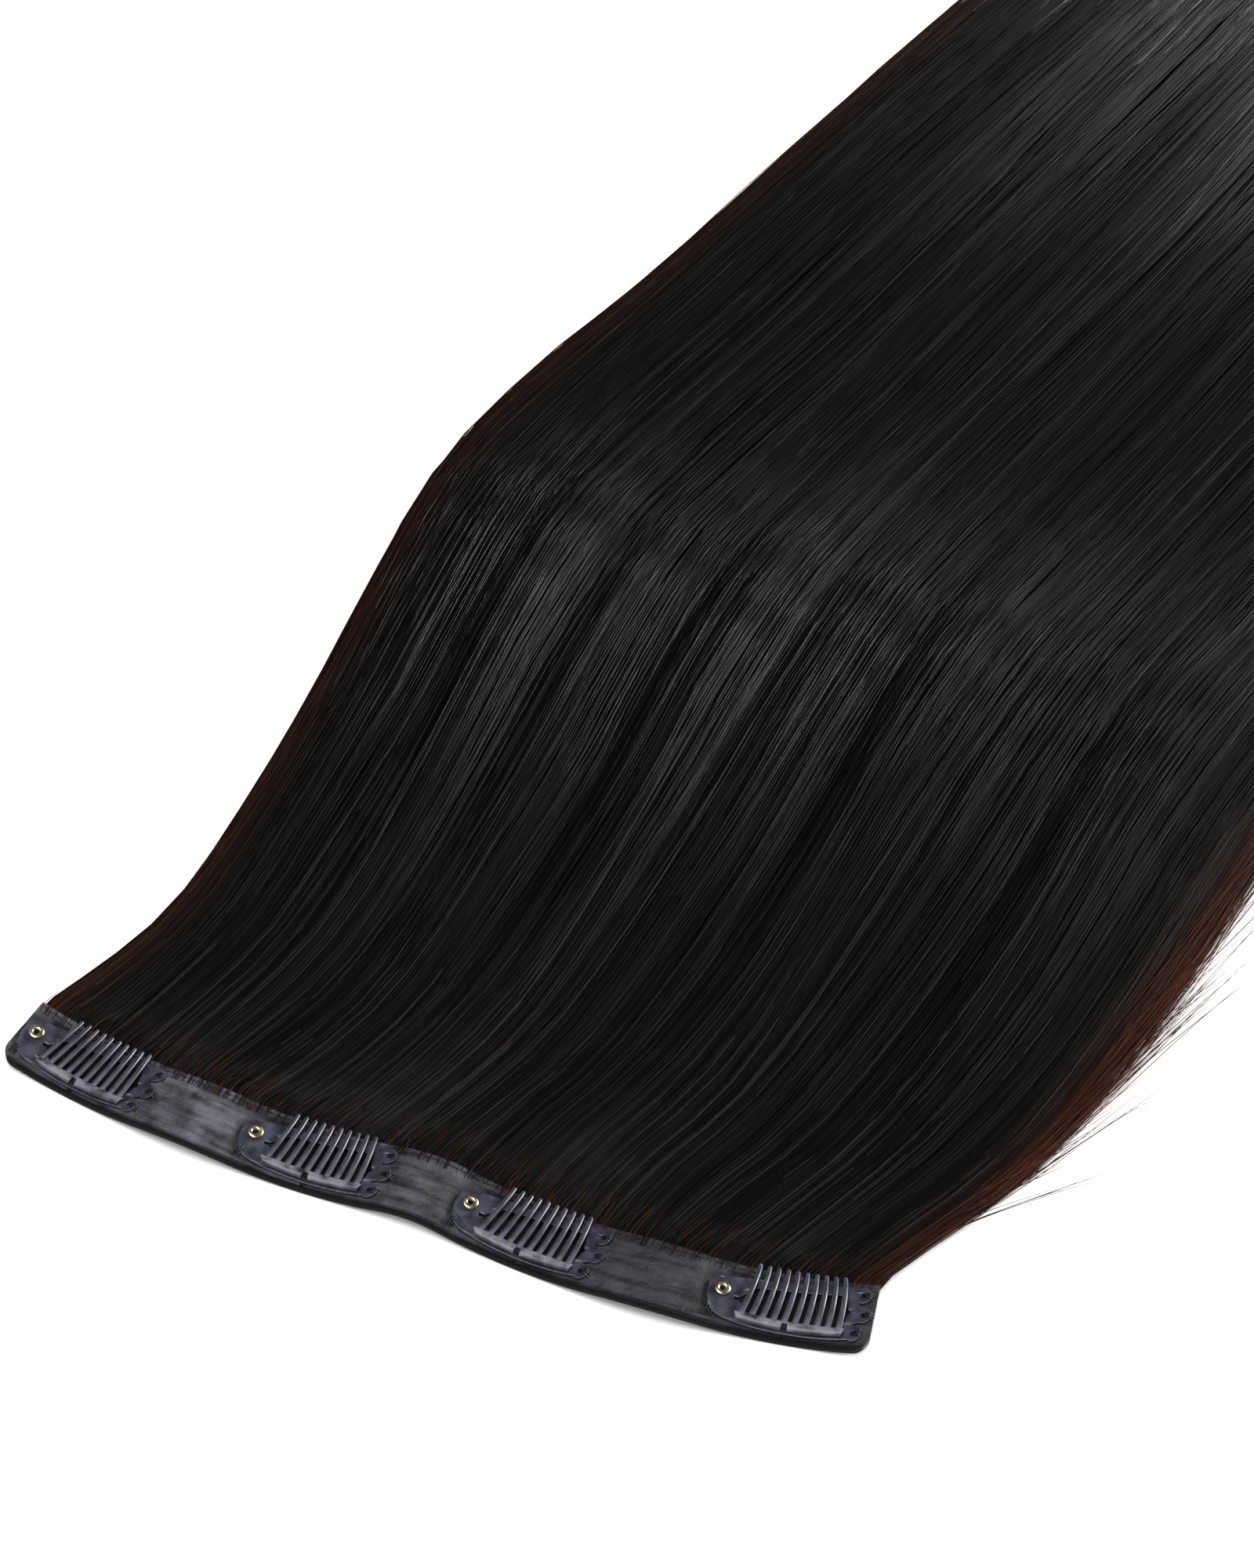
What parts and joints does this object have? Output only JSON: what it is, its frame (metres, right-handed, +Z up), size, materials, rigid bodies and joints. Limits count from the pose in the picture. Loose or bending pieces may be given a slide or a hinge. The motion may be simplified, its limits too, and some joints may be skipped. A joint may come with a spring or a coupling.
{
  "type": "clip in hair extension",
  "caption": "Weft of long straight dark hair on a flat waved band with riveted snap comb clips, lying flat. Each clip's toothed leg lifts about its lower bar.",
  "frame": {"origin": "middle of the underside of the whole part, on the surface that it lies on", "axes": "+Y from the band to the hair's tips, +Z up from the surface, +X along the band"},
  "size_m": [0.2962, 0.4994, 0.0138],
  "materials": {
    "band_skin": "thin cast polyurethane skin, crinkled, half gloss",
    "hair": "straight natural black hair with a soft sheen, brown in thin stray strands",
    "clip_paint": "baked blue-black paint on spring steel, half gloss",
    "brass": "polished eyelet"
  },
  "bodies": {
    "weft": {"weft_band": "band_skin", "hair": "hair", "clip_1_frame": "clip_paint", "clip_2_frame": "clip_paint", "clip_3_frame": "clip_paint", "clip_4_frame": "clip_paint", "clip_1_rivet": "brass", "clip_2_rivet": "brass", "clip_3_rivet": "brass", "clip_4_rivet": "brass"},
    "comb_1": {"clip_1_comb": "clip_paint"},
    "comb_2": {"clip_2_comb": "clip_paint"},
    "comb_3": {"clip_3_comb": "clip_paint"},
    "comb_4": {"clip_4_comb": "clip_paint"}
  },
  "joints": [
    {"name": "clip_1_snap", "type": "hinge", "parent": "weft", "child": "comb_1", "pos_m": [-0.13066, -0.24238, 0.0035], "axis": [0.9882, -0.153, 0], "range_deg": [0, 35]},
    {"name": "clip_2_snap", "type": "hinge", "parent": "weft", "child": "comb_2", "pos_m": [-0.07338, -0.24583, 0.0035], "axis": [0.9995, 0.0332, 0], "range_deg": [0, 35]},
    {"name": "clip_3_snap", "type": "hinge", "parent": "weft", "child": "comb_3", "pos_m": [-0.02398, -0.24648, 0.0035], "axis": [0.9982, -0.0593, 0], "range_deg": [0, 35]},
    {"name": "clip_4_snap", "type": "hinge", "parent": "weft", "child": "comb_4", "pos_m": [0.0349, -0.24283, 0.0035], "axis": [0.9833, 0.1822, 0], "range_deg": [0, 35]}
  ]
}
